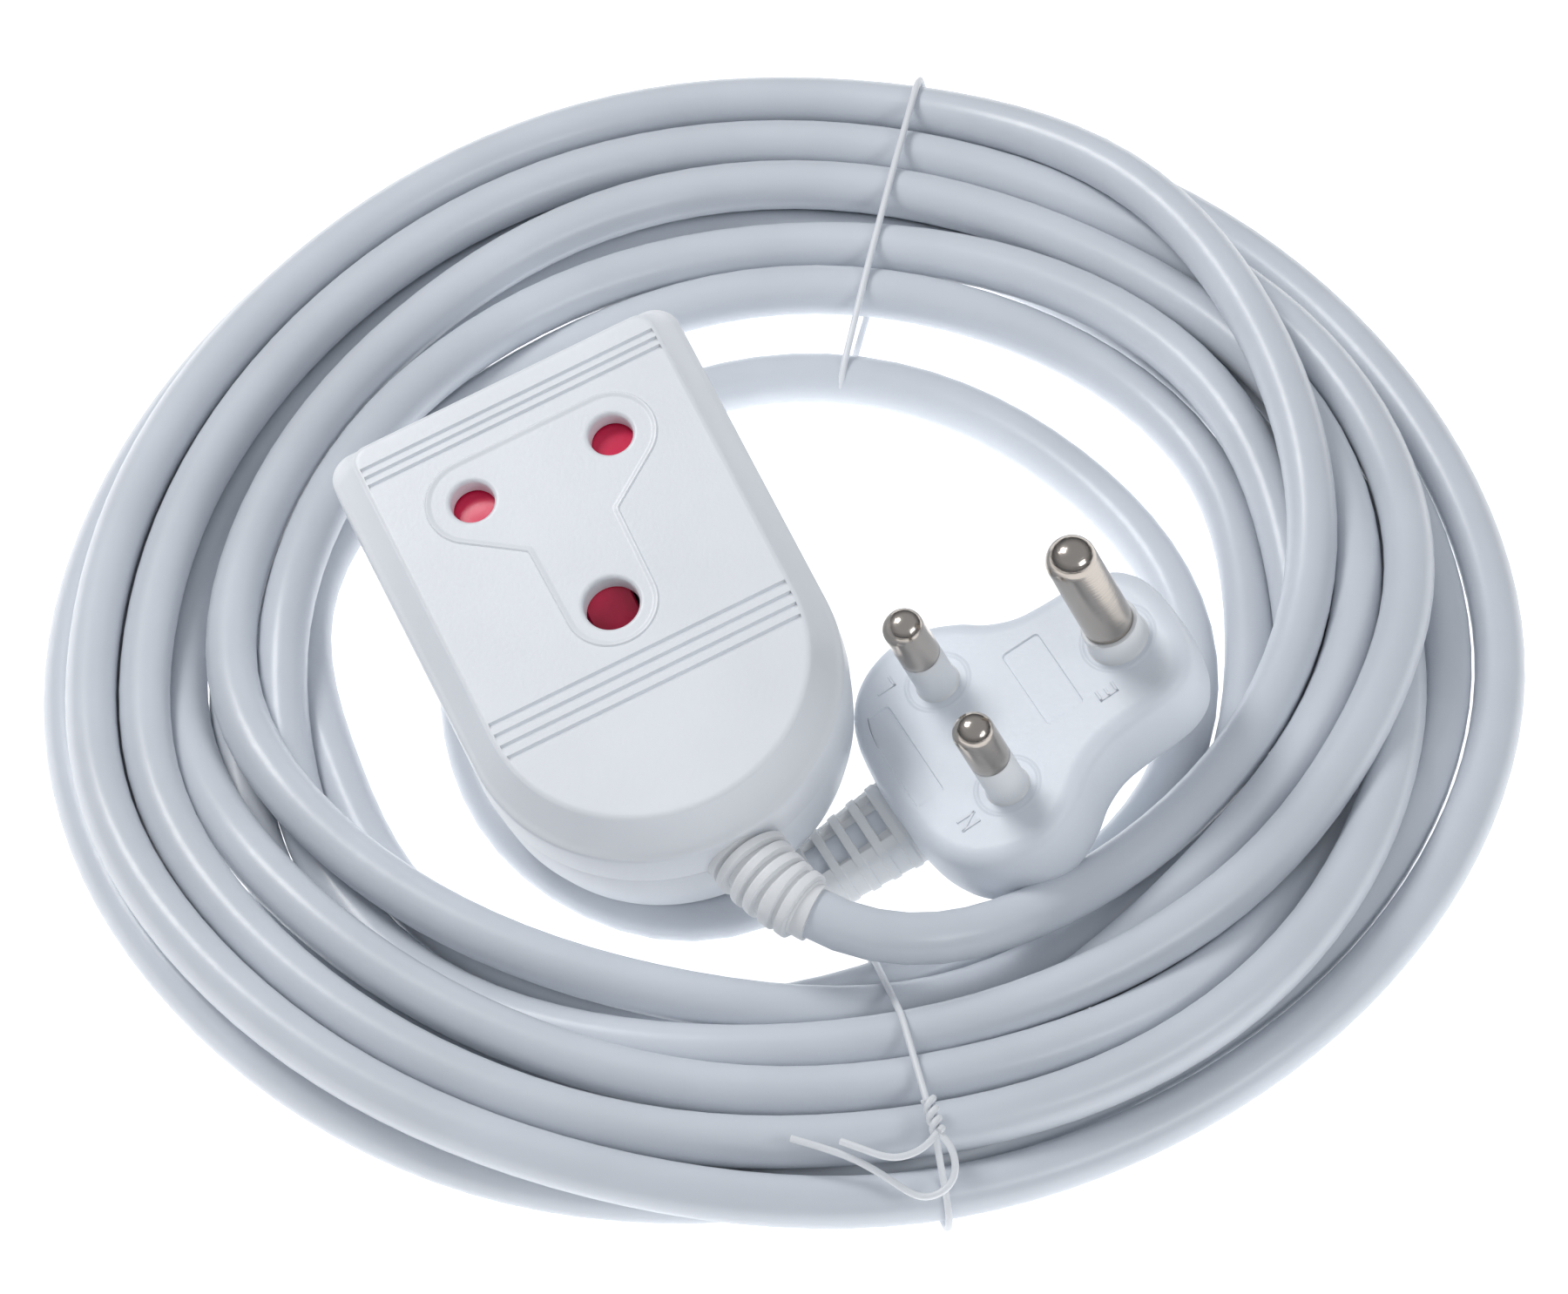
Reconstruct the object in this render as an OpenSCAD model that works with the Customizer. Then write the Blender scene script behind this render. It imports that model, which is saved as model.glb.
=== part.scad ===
// Coiled extension cord: trailing socket, moulded three-pin plug and round flex.
// Millimetres, +Z up. The origin is on the floor, under the middle of the box round the socket and the ties.

/* [Cord] */
// Outside diameter of the round flex
cord_d = 8.6; // [8.0:0.1:9.0]
// Radius of the outermost turn of the coil, to its outside
coil_outer_r = 125.3; // [124:0.1:127]
// Radius of the coil's opening
coil_inner_r = 76; // [75.5:0.5:80]
// Height of the coil: two layers of flex
coil_h = 17.2; // [16:0.2:18]

/* [Socket housing] */
// Half width of the flat face
face_half_w = 27.8; // [27:0.1:28.5]
// Half width of the upper cover at its skirt
skirt_half_w = 32; // [31:0.1:32.5]
// Height of the sloping shoulder between face and skirt
shoulder_h = 7; // [6:0.5:8]
// Depth of the joint line between the covers, below the face
seam_depth = 15; // [14.5:0.1:15.5]
// Full depth of the housing
socket_h = 33; // [32.9:0.1:35]
// Thickness of the face wall, which is the length of the pin holes
face_wall = 3.2; // [3:0.1:3.4]
// Distance from the live-neutral line to the straight end of the face
face_top = 18.7; // [18:0.1:19.5]
// Distance from the live-neutral line to the centre of the round end
round_end_y = 41.5; // [41:0.1:42]

/* [Pins and contacts] */
// Distance between the live and neutral centres
line_pitch = 25.4; // [25.3:0.1:25.5]
// Distance from the live-neutral line to the earth centre
earth_pitch = 28.6; // [28.5:0.1:28.7]
// Radius of the live and neutral pins
line_pin_r = 3.525; // [3.5:0.005:3.55]
// Radius of the earth pin
earth_pin_r = 4.355; // [4.33:0.005:4.38]
// Length of the live and neutral pins beyond the face
line_pin_len = 20.6; // [20:0.1:21]
// Length of the earth pin beyond the face
earth_pin_len = 28.6; // [28:0.1:29]
// Length of the insulating sleeves on the live and neutral pins
sleeve_len = 9; // [8.5:0.1:9.5]
// Length of the earth pin's collar
collar_len = 5; // [4.5:0.1:5.5]
// Radius of the live and neutral holes
line_hole_r = 3.7; // [3.65:0.05:3.8]
// Radius of the earth hole
earth_hole_r = 4.65; // [4.6:0.05:4.7]

/* [Shutter] */
// Thickness of the shutter's plate
shutter_t = 2.2; // [2:0.1:2.3]
// Position of the shutter: 0 is closed, 8.6 is open
shutter_open = 0; // [0:0.1:8.6]

/* [Plug] */
// Thickness of the plug's body
plug_t = 16; // [15:0.5:17]

/* [Hidden] */

// Colours
white_shell = [0.90, 0.91, 0.93];
white_flex = [0.86, 0.88, 0.91];
soft_grey = [0.80, 0.81, 0.83];
shutter_red = [0.62, 0.05, 0.14];
brass = [0.78, 0.62, 0.30];
nickel = [0.72, 0.69, 0.66];
steel = [0.62, 0.63, 0.65];
brown_core = [0.42, 0.22, 0.10];
blue_core = [0.12, 0.28, 0.66];
green_core = [0.25, 0.58, 0.20];

// Places in the model: the coil's centre, the socket and the plug
coil_at = [22.4, 1.5, 0];
socket_at = coil_at + [-38, -2.8, 50.1];
socket_turn = [7, -13, 23];
plug_at = coil_at + [33, -42, 29];
plug_turn = [20, -4, -64];

// Small shared values
eps = 0.01;
gap = 0.3;
fit = 0.02;
facets = 40;
live = [-line_pitch / 2, 0];
neutral = [line_pitch / 2, 0];
socket_earth = [0, -earth_pitch];
plug_earth = [0, earth_pitch];
cord_r = cord_d / 2;
core_r = 1.5;

// Inside the socket, all depths below the face
cord_axis_z = -seam_depth;
upper_wall = 2.6;
carrier_top = -6.2;
carrier_bottom = -20;
floor_z = -socket_h + 2;
line_contact_r = 4.7;
earth_contact_r = 5.5;
boot_r = 6.2;
boot_in_y = -66.3;
wall_y = -round_end_y - skirt_half_w;
boot_end_y = -87;
cord_end_y = -51;
clamp_y = -55;
clamp_screw_x = 8.5;
screw_places = [[-21.4, 11.5], [21.4, 11.5], [-17, -52.5], [17, -52.5]];
shutter_z = -face_wall - gap - shutter_t;
shutter_edge_y = 4.6;
spring_r = 1.1;
spring_end_y = 16.2;

// Ties
tie_wire = 1.2;
tie_angle = 77;
tie_top_r = 51;

// Inside the plug
line_root_r = 2.6;
earth_root_r = 3.4;
collar_r = 5;
relief_z = -9.5;
relief_in_y = -14;
relief_end_y = -36;
bridge_top = -3;
bridge_t = 3;
crimp_top = -9;

// Rotation of a point by the same x, y, z turns as rotate(), then a shift
function turn_x(p, a) = [p.x, p.y * cos(a) - p.z * sin(a), p.y * sin(a) + p.z * cos(a)];
function turn_y(p, a) = [p.x * cos(a) + p.z * sin(a), p.y, p.z * cos(a) - p.x * sin(a)];
function turn_z(p, a) = [p.x * cos(a) - p.y * sin(a), p.x * sin(a) + p.y * cos(a), p.z];
function placed(p, at, turn) = at + turn_z(turn_y(turn_x(p, turn.x), turn.y), turn.z);

// Route of the lead between the socket and the coil, from the coil's centre
socket_lead_route = concat(
    [for (y = [cord_end_y, -60, -70, -80, boot_end_y - 1]) placed([0, y, cord_axis_z], socket_at, socket_turn)],
    [for (p = [
        [7.5, -87, 23.4], [17, -93.5, 23], [29, -96, 22.6], [42, -94.5, 22.2], [54, -88.5, 21.6], [63.5, -80, 18],
        [71, -70, 13]
    ]) coil_at + p]
);

// Route of the lead between the plug and the coil, from the coil's centre
plug_lead_route = concat(
    [for (y = [relief_in_y - 1, -22, -29, relief_end_y]) placed([0, y, relief_z], plug_at, plug_turn)],
    [for (p = [
        [-10, -63.5, 4.8], [-25, -61.5, 4.4], [-38, -53, 4.4], [-47, -40, 4.4], [-51, -24, 4.4], [-52, -7, 4.4],
        [-49, 10, 4.4], [-42, 27, 4.4], [-30, 41, 4.6], [-14, 51, 5.6], [4, 55, 5.8], [22, 53, 5.6],
        [39, 45, 4.6], [53, 33, 4.4], [64, 18, 4.4], [72, 1, 4.4], [79, -16, 4.4]
    ]) coil_at + p]
);

// Directions for a swept tube: the tangent at a point, and a sideways and an upward normal
function unit(v) = v / norm(v);
function tangent(p, i) = unit(p[min(i + 1, len(p) - 1)] - p[max(i - 1, 0)]);
function sideways(t) = unit(cross(t, [0, 0, 1]));
function ring(c, t, r, sides) = let (s = sideways(t), u = cross(s, t))
    [for (k = [0 : sides - 1]) c + r * (cos(360 * k / sides) * s + sin(360 * k / sides) * u)];

// Solid tube along a list of points
module tube(p, r, sides = 10) {
    last = len(p) - 1;
    points = [for (i = [0 : last]) each ring(p[i], tangent(p, i), r, sides)];
    start_cap = [for (k = [sides - 1 : -1 : 0]) k];
    end_cap = [for (k = [0 : sides - 1]) last * sides + k];
    walls = [for (i = [0 : last - 1]) for (k = [0 : sides - 1]) let (n = (k + 1) % sides)
        each [[i * sides + k, (i + 1) * sides + n, (i + 1) * sides + k],
              [i * sides + k, i * sides + n, (i + 1) * sides + n]]];
    polyhedron(points = points, faces = concat([start_cap, end_cap], walls));
}

module in_socket() {
    translate(socket_at) rotate(socket_turn) children();
}

module in_plug() {
    translate(plug_at) rotate(plug_turn) children();
}

// A tube wall between two radii
module sleeve(inner, outer, z0, z1) {
    translate([0, 0, z0])
        difference() {
            cylinder(r = outer, h = z1 - z0, $fn = facets);
            translate([0, 0, -1]) cylinder(r = inner, h = z1 - z0 + 2, $fn = facets);
        }
}

// ---- Socket ----

// Plan of the housing: straight at the top end, round at the cord end
module socket_plan(half_w, top, corner = 3) {
    translate([0, -round_end_y]) circle(r = half_w, $fn = 64);
    translate([-half_w, -round_end_y]) square([2 * half_w, round_end_y + top - corner]);
    translate([corner - half_w, top - corner - eps]) square([2 * (half_w - corner), corner + eps]);
    for (s = [-1, 1]) translate([s * (half_w - corner), top - corner]) circle(r = corner, $fn = facets);
}

module socket_slab(half_w, top, z0, z1) {
    translate([0, 0, z0]) linear_extrude(z1 - z0) socket_plan(half_w, top);
}

// Plan of the raised outline round the three holes
module hole_panel() {
    lobe = 7.6;
    for (c = [live, neutral, socket_earth]) translate(c) circle(r = lobe, $fn = facets);
    polygon([
        [live.x, lobe], [neutral.x, lobe], [16.9, -6.4], [7.65, -13.85], [lobe, socket_earth.y],
        [-lobe, socket_earth.y], [-7.65, -13.85], [-16.9, -6.4]
    ]);
}

module pin_hole(r) {
    rim = 0.5;
    translate([0, 0, -face_wall - 1]) cylinder(r = r, h = face_wall + 3, $fn = facets);
    translate([0, 0, -eps]) cylinder(r1 = r, r2 = r + rim, h = rim, $fn = facets);
}

// Grooves across the face: three near the straight end, four near the cord end
module face_grooves() {
    groove_w = 0.9;
    groove_d = 0.45;
    for (y = [14.3, 12.6, 10.9, -39.2, -41.5, -43.8, -46.1])
        translate([-27, y - groove_w / 2, -groove_d]) cube([54, groove_w, 2]);
}

module socket_top_cover() {
    color(white_shell) in_socket() difference() {
        union() {
            hull() {
                socket_slab(face_half_w, face_top, -0.5, 0);
                socket_slab(skirt_half_w - 0.8, face_top + 3, -shoulder_h, 0.5 - shoulder_h);
            }
            socket_slab(skirt_half_w, face_top + 3.8, -seam_depth, -shoulder_h);
            linear_extrude(0.25) hole_panel();
        }
        difference() {
            union() {
                socket_slab(face_half_w - 1.2, face_top - 2.3, -shoulder_h - eps, -face_wall);
                socket_slab(skirt_half_w - upper_wall, face_top + 1.2, -seam_depth - 1, -shoulder_h);
            }
            for (p = screw_places) translate([p.x, p.y, -seam_depth - 1]) cylinder(r = 3.4, h = 14, $fn = facets);
        }
        for (p = screw_places) translate([p.x, p.y, -seam_depth - 2]) cylinder(r = 1.32, h = 11, $fn = facets);
        for (c = [live, neutral]) translate(c) pin_hole(line_hole_r);
        translate(socket_earth) pin_hole(earth_hole_r);
        face_grooves();
        boot_opening();
    }
}

// Round opening for the boot, half in each cover, and the room for its flange
module boot_opening() {
    translate([0, wall_y - 5, cord_axis_z]) rotate([-90, 0, 0]) cylinder(r = boot_r + fit, h = 12, $fn = facets);
}

module socket_bottom_cover() {
    seam = -seam_depth - fit;
    lower_half_w = skirt_half_w - 0.4;
    lower_top = face_top + 3.4;
    color(white_shell) in_socket() difference() {
        hull() {
            socket_slab(lower_half_w, lower_top, seam - 1, seam);
            socket_slab(lower_half_w - 2.6, lower_top - 2.6, 5 - socket_h, 5.5 - socket_h);
            socket_slab(lower_half_w - 6, lower_top - 6, -socket_h, 0.5 - socket_h);
        }
        difference() {
            union() {
                socket_slab(lower_half_w - 6.6, lower_top - 6.6, floor_z, floor_z + 4);
                socket_slab(lower_half_w - 4.6, lower_top - 4.6, floor_z + 3, floor_z + 12);
                socket_slab(lower_half_w - 3.4, lower_top - 3.4, floor_z + 11, 1 - seam_depth);
            }
            bottom_pillars();
            bottom_ribs();
        }
        for (p = screw_places) translate([p.x, p.y, -socket_h - 1]) {
            cylinder(r = 1.6, h = 30, $fn = facets);
            cylinder(r = 3.2, h = 6.5, $fn = facets);
        }
        for (s = [-1, 1]) translate([s * clamp_screw_x, clamp_y, -24]) cylinder(r = 1.22, h = 20, $fn = facets);
        boot_opening();
    }
}

// Pillars for the cover screws, and two shorter posts for the cord clamp
module bottom_pillars() {
    for (p = screw_places)
        translate([p.x, p.y, floor_z - 1]) cylinder(r = 4.2, h = -16.1 - floor_z + 1, $fn = facets);
    for (s = [-1, 1])
        translate([s * clamp_screw_x, clamp_y, floor_z - 1]) cylinder(r = 2.9, h = -11.8 - floor_z + 1, $fn = facets);
}

// Ribs that carry the contact carrier, and the saddle under the cord
module bottom_ribs() {
    for (s = [-1, 1])
        translate([s * 18.4 - 0.8, -34, floor_z - 1]) cube([1.6, 40, carrier_bottom - fit - floor_z + 1]);
    translate([-5, clamp_y - 1.5, floor_z - 1]) cube([10, 3, cord_axis_z - cord_r - fit - floor_z + 1]);
}

module contact_carrier() {
    block_w = 38.6;
    wedge_room = 10;
    color(soft_grey) in_socket() difference() {
        union() {
            translate([-block_w / 2, -36.8, carrier_bottom]) cube([block_w, 44, carrier_top - carrier_bottom]);
            for (s = [-1, 1])
                translate([s * 18.8 - 0.5, -5, carrier_top - 1]) cube([1, 12, 3.4]);
        }
        for (c = [live, neutral])
            translate([c.x, c.y, carrier_bottom - 1]) cylinder(r = line_contact_r + fit, h = 20, $fn = facets);
        translate([0, socket_earth.y, carrier_bottom - 1]) cylinder(r = earth_contact_r + fit, h = 20, $fn = facets);
        translate([-wedge_room / 2, -34.6, -12]) cube([wedge_room, 24, 10]);
    }
}

// Plate with two arms over the live and neutral holes, and a ramp under the earth hole
module shutter() {
    arm_x = 17.6;
    stem_x = 4.2;
    ramp_end_y = -33.4;
    color(shutter_red) in_socket() translate([0, shutter_open, 0]) {
        translate([-arm_x, -4.5, shutter_z]) cube([2 * arm_x, 4.5 + shutter_edge_y, shutter_t]);
        translate([-stem_x, -24, shutter_z]) cube([2 * stem_x, 20, shutter_t]);
        translate([stem_x, 0, 0]) rotate([90, 0, -90]) linear_extrude(2 * stem_x)
            polygon([
                [24 - eps, shutter_z + shutter_t], [-ramp_end_y, -10.2],
                [-ramp_end_y, -11.4], [24 - eps, shutter_z - 1.4]
            ]);
        translate([-stem_x, -24, shutter_z - 1.4]) cube([2 * stem_x, 3, 2]);
    }
}

// Return spring between the shutter and the straight end of the cover
module shutter_spring() {
    turns = 5;
    steps = 10;
    wire_r = 0.22;
    length = spring_end_y - shutter_edge_y - shutter_open - 2 * wire_r - 0.1;
    color(steel) in_socket() tube([for (i = [0 : turns * steps])
        [spring_r * cos(360 * i / steps),
         shutter_edge_y + shutter_open + wire_r + 0.05 + length * i / (turns * steps),
         shutter_z + shutter_t / 2 + spring_r * sin(360 * i / steps)]], wire_r, 6);
}

// Round contact sleeve with a terminal block below it
module line_contact(c) {
    color(brass) in_socket() translate([c.x, c.y, 0]) {
        sleeve(line_pin_r + 0.05, line_contact_r, -22.5, -8);
        difference() {
            translate([-4, -4.4, -29]) cube([8, 8.8, 6.5]);
            translate([0, -6, -25.8]) rotate([-90, 0, 0]) cylinder(r = core_r + fit, h = 5.5, $fn = facets);
            translate([0, 1, -30]) cylinder(r = 1.5 + fit, h = 4, $fn = facets);
        }
    }
}

module live_contact() {
    line_contact(live);
}

module neutral_contact() {
    line_contact(neutral);
}

module earth_contact() {
    color(brass) in_socket() translate([0, socket_earth.y, 0]) {
        sleeve(earth_pin_r + 0.05, earth_contact_r, -29, -12.5);
        difference() {
            translate([-3.6, -12.2, -29]) cube([7.2, 7.2, 6.5]);
            translate([0, -14, -25.8]) rotate([-90, 0, 0]) cylinder(r = core_r + fit, h = 4.5, $fn = facets);
            translate([0, -7.6, -30]) cylinder(r = 1.5 + fit, h = 4, $fn = facets);
        }
    }
}

// Cheese-head screw pointing up, with a driver slot in its head
module screw(r, head_r, length, head_h) {
    difference() {
        union() {
            cylinder(r = r, h = length, $fn = facets);
            translate([0, 0, -head_h]) cylinder(r = head_r, h = head_h, $fn = facets);
        }
        translate([-head_r, -0.35, -head_h - 1]) cube([2 * head_r, 0.7, 1.7]);
    }
}

module terminal_screws() {
    places = [[live.x, 1], [neutral.x, 1], [0, socket_earth.y - 7.6]];
    color(brass) in_socket()
        for (p = places) translate([p.x, p.y, -29 - fit]) screw(1.5, 2.6, 3, 1.8);
}

module cover_screws() {
    color(steel) in_socket()
        for (p = screw_places) translate([p.x, p.y, -socket_h + 5.5 - fit]) screw(1.3, 2.9, 20, 2);
}

module cord_clamp() {
    bar_bottom = cord_axis_z + cord_r + fit;
    color(soft_grey) in_socket() difference() {
        translate([-12, clamp_y - 2.8, max(bar_bottom, -11.75)]) cube([24, 5.6, 3]);
        for (s = [-1, 1]) translate([s * clamp_screw_x, clamp_y, -14]) cylinder(r = 1.4, h = 10, $fn = facets);
    }
}

module clamp_screws() {
    head_z = max(cord_axis_z + cord_r + fit, -11.75) + 3 + fit;
    color(steel) in_socket()
        for (s = [-1, 1]) translate([s * clamp_screw_x, clamp_y, head_z]) rotate([180, 0, 0]) screw(1.2, 2.3, 9, 1.5);
}

// Ribbed rubber boot: a flange inside the wall, a neck through it and ribs outside
module socket_boot() {
    rib_pitch = 2.6;
    color(white_shell) in_socket() translate([0, 0, cord_axis_z]) rotate([90, 0, 0]) difference() {
        union() {
            translate([0, 0, -boot_in_y]) cylinder(r = 6.7, h = 2, $fn = facets);
            translate([0, 0, -boot_in_y]) cylinder(r = boot_r, h = boot_in_y - boot_end_y, $fn = facets);
            for (i = [0 : 4])
                translate([0, 0, -wall_y + 0.6 + i * rib_pitch]) cylinder(r = 7 - 0.12 * i, h = 1.5, $fn = facets);
        }
        translate([0, 0, -boot_in_y - 1]) cylinder(r = cord_r + fit, h = 40, $fn = facets);
    }
}

// Cores inside the socket, from the stripped end of the cord to the terminals
module socket_core(route) {
    in_socket() tube(route, core_r, 8);
}

module socket_live_core() {
    color(brown_core) socket_core([
        [-2, -50.9, -14.6], [-2, -49.6, -14.6], [-6, -44, -19.5], [-11, -39, -24], [-13.6, -33, -25.8], [-14, -22, -25.8],
        [-13, -12, -25.8], [-12.7, -4.5, -25.8], [-12.7, -1.2, -25.8]
    ]);
}

module socket_neutral_core() {
    color(blue_core) socket_core([
        [2, -50.9, -14.6], [2, -49.6, -14.6], [6, -44, -19.5], [11, -39, -24], [13.6, -33, -25.8], [14, -22, -25.8],
        [13, -12, -25.8], [12.7, -4.5, -25.8], [12.7, -1.2, -25.8]
    ]);
}

module socket_earth_core() {
    color(green_core) socket_core([
        [0, -50.9, -17.6], [0, -49.6, -17.6], [0, -46.5, -22], [0, -43.5, -25.6], [0, -41, -25.8], [0, -38.8, -25.8]
    ]);
}

// ---- Plug ----

// Plan of the three-lobed body, drawn in from its outline by inset
module plug_plan(inset = 0) {
    waist = 16.4 - inset;
    for (s = [-1, 1]) {
        translate([s * 5.6, 29]) circle(r = 9.8 - inset, $fn = facets);
        translate([s * 11.9, -3.1]) circle(r = 13.8 - inset, $fn = 48);
    }
    translate([-5.6, 20]) square([11.2, 18.8 - inset]);
    polygon([
        [15.4 - inset, 30], [15.4 - inset, 22], [waist, 16.5], [19.6 - inset, 11], [22.4 - inset, 6],
        [12, inset - 16.9], [4, inset - 17.8], [-4, inset - 17.8], [-12, inset - 16.9],
        [inset - 22.4, 6], [inset - 19.6, 11], [-waist, 16.5], [inset - 15.4, 22], [inset - 15.4, 30]
    ]);
}

module plug_slab(inset, z0, z1) {
    translate([0, 0, z0]) linear_extrude(z1 - z0) plug_plan(inset);
}

module plug_body() {
    inner_top = -2.4;
    inner_bottom = 3 - plug_t;
    color(white_shell) in_plug() difference() {
        union() {
            plug_slab(0, 2.5 - plug_t, -1);
            plug_slab(0.7, -1 - eps, 0);
            plug_slab(1.6, 1 - plug_t, 2.5 - plug_t + eps);
            plug_slab(3.4, -plug_t, 1 - plug_t + eps);
        }
        plug_slab(3.2, inner_bottom, inner_top);
        for (c = [live, neutral]) translate([c.x, c.y, -4]) cylinder(r = line_root_r + fit, h = 6, $fn = facets);
        translate([0, plug_earth.y, -4]) cylinder(r = earth_root_r + fit, h = 6, $fn = facets);
        translate([0, -10, relief_z]) rotate([90, 0, 0]) cylinder(r = 5.4, h = 10, $fn = facets);
    }
}

// Hard carrier plate that fixes the three pins
module plug_bridge() {
    color(soft_grey) in_plug() difference() {
        translate([0, 0, bridge_top - bridge_t]) linear_extrude(bridge_t) {
            translate([-18, -5]) square([36, 10]);
            translate([-6, 0]) square([12, 34]);
        }
        for (c = [live, neutral]) translate([c.x, c.y, -8]) cylinder(r = line_root_r + fit, h = 10, $fn = facets);
        translate([0, plug_earth.y, -8]) cylinder(r = earth_root_r + fit, h = 10, $fn = facets);
    }
}

// Solid turned pin: thin root, full body from body_z, domed tip, and a head behind the bridge
module turned_pin(body_r, root_r, body_z, length) {
    dome = body_r * 0.9;
    straight = length - dome;
    head_z = bridge_top - bridge_t - fit;
    rotate_extrude($fn = 64)
        polygon(concat(
            [[0, crimp_top], [1.7, crimp_top], [1.7, head_z - 1.6], [root_r + 1.7, head_z - 1.6], [root_r + 1.7, head_z],
             [root_r, head_z], [root_r, body_z], [body_r, body_z]],
            [for (a = [0 : 10 : 80]) [body_r * cos(a), straight + dome * sin(a)]],
            [[0, length]]
        ));
}

module live_pin() {
    color(nickel) in_plug() translate(live) turned_pin(line_pin_r, line_root_r, sleeve_len + fit, line_pin_len);
}

module neutral_pin() {
    color(nickel) in_plug() translate(neutral) turned_pin(line_pin_r, line_root_r, sleeve_len + fit, line_pin_len);
}

module earth_pin() {
    color(nickel) in_plug() translate(plug_earth) turned_pin(earth_pin_r, earth_root_r, collar_len + fit, earth_pin_len);
}

module live_pin_sleeve() {
    color(white_shell) in_plug() translate(live) sleeve(line_root_r + fit, line_pin_r, fit, sleeve_len);
}

module neutral_pin_sleeve() {
    color(white_shell) in_plug() translate(neutral) sleeve(line_root_r + fit, line_pin_r, fit, sleeve_len);
}

module earth_pin_collar() {
    color(white_shell) in_plug() translate(plug_earth) sleeve(earth_root_r + fit, collar_r, fit, collar_len);
}

// Crimped joints, one behind each pin
module plug_crimps() {
    color(brass) in_plug() for (c = [live, neutral, plug_earth])
        translate([c.x - 2, c.y - 2, crimp_top - 3 - fit]) cube([4, 4.6, 3]);
}

module plug_core(route) {
    in_plug() tube(route, 1.25, 8);
}

module plug_live_core() {
    color(brown_core) plug_core([[-2.1, -14.9, -10], [-2.1, -13.6, -10], [-6.5, -9, -10.6], [-10.5, -6, -10.6], [-12.6, -2.2, -10.6]]);
}

module plug_neutral_core() {
    color(blue_core) plug_core([[2.1, -14.9, -10], [2.1, -13.6, -10], [6.5, -9, -10.6], [10.5, -6, -10.6], [12.6, -2.2, -10.6]]);
}

module plug_earth_core() {
    color(green_core) plug_core([[0, -14.9, -8], [0, -13.6, -8], [0, -8, -9.6], [0, 0, -10.4], [0, 15, -10.6], [0, plug_earth.y - 2.2, -10.6]]);
}

// Ladder-shaped strain relief: tapered block with open windows and ribs along its sides
module plug_relief() {
    block_h = 10.4;
    window_pitch = 3.9;
    first_window = -19.6;
    color(white_shell) in_plug() translate([0, 0, relief_z]) difference() {
        union() {
            rotate([90, 0, 0]) translate([0, 0, -relief_in_y]) cylinder(r = 5.3, h = 6, $fn = facets);
            hull() {
                translate([-6.8, -18.4, -block_h / 2]) cube([13.6, 0.5, block_h]);
                translate([-5.2, relief_end_y, 0.6 - block_h / 2]) cube([10.4, 0.5, block_h - 1.2]);
            }
            for (i = [0 : 4]) translate([-7.1 + i * 0.35, -19 - i * window_pitch, -block_h / 2])
                cube([14.2 - i * 0.7, 1.4, block_h]);
        }
        for (i = [0 : 3]) translate([0, first_window - i * window_pitch - 1.2, 0])
            for (s = [-1, 1]) translate([-3.4, -0.95, s * 4.6 - 1]) cube([6.8, 1.9, 2]);
        rotate([90, 0, 0]) translate([0, 0, -relief_in_y - 1]) cylinder(r = cord_r + fit, h = 30, $fn = facets);
    }
}

// ---- Cord and ties ----

module socket_lead() {
    color(white_flex) tube(socket_lead_route, cord_r, 12);
}

module plug_lead() {
    color(white_flex) tube(plug_lead_route, cord_r, 12);
}

// Section of the coiled turns, from its inner edge to its outer edge
module coil_section() {
    polygon([
        [coil_inner_r, 0], [coil_outer_r - 2, 0], [coil_outer_r, 2.5], [coil_outer_r, 7], [coil_outer_r - 8, coil_h],
        [coil_inner_r + 10, coil_h], [coil_inner_r, 8]
    ]);
}

// Outline round that section, from a given inner radius, for a coated wire wrapped round the turns
module tie_outline(in_r, out) {
    polygon([
        [in_r - out, tie_wire - out], [coil_outer_r - 2 + out / 2, tie_wire - out], [coil_outer_r + out, 2.5],
        [coil_outer_r + out, 7.5], [coil_outer_r - 8 + out / 2, coil_h + out], [coil_inner_r + 10 - out / 2, coil_h + out],
        [in_r - out, 9 + out / 2]
    ]);
}

// Flat loop of tie wire at one angle round the coil, fatter by extra
module tie_loop(angle, in_r, extra = 0) {
    rotate([90, 0, angle]) translate([0, 0, -tie_wire / 2 - extra]) linear_extrude(tie_wire + 2 * extra)
        difference() {
            tie_outline(in_r, tie_wire + extra);
            tie_outline(in_r, fit - extra);
        }
}

// Outer shape of the coiled turns, with a shallow groove under each tie
module cord_coil() {
    color(white_flex) translate(coil_at) difference() {
        rotate_extrude($fn = 96) coil_section();
        tie_loop(tie_angle, tie_top_r, 0.1);
        tie_loop(-tie_angle, coil_inner_r, 0.1);
    }
}

// The upper tie also holds the plug's lead against the coil
module tie_top() {
    color(white_shell) translate(coil_at) tie_loop(tie_angle, tie_top_r);
}

// The lower tie is closed by a twisted knot with two loose tails
module tie_bottom() {
    knot_r = 2;
    knot = [coil_outer_r - 12, 0, coil_h + knot_r];
    color(white_shell) translate(coil_at) {
        tie_loop(-tie_angle, coil_inner_r);
        rotate([0, 0, -tie_angle]) translate(knot) {
            sphere(r = knot_r, $fn = facets);
            rotate([0, 84, -35]) cylinder(r = tie_wire / 2, h = 17, $fn = 16);
            rotate([0, 86, -80]) cylinder(r = tie_wire / 2, h = 19, $fn = 16);
        }
    }
}

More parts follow.
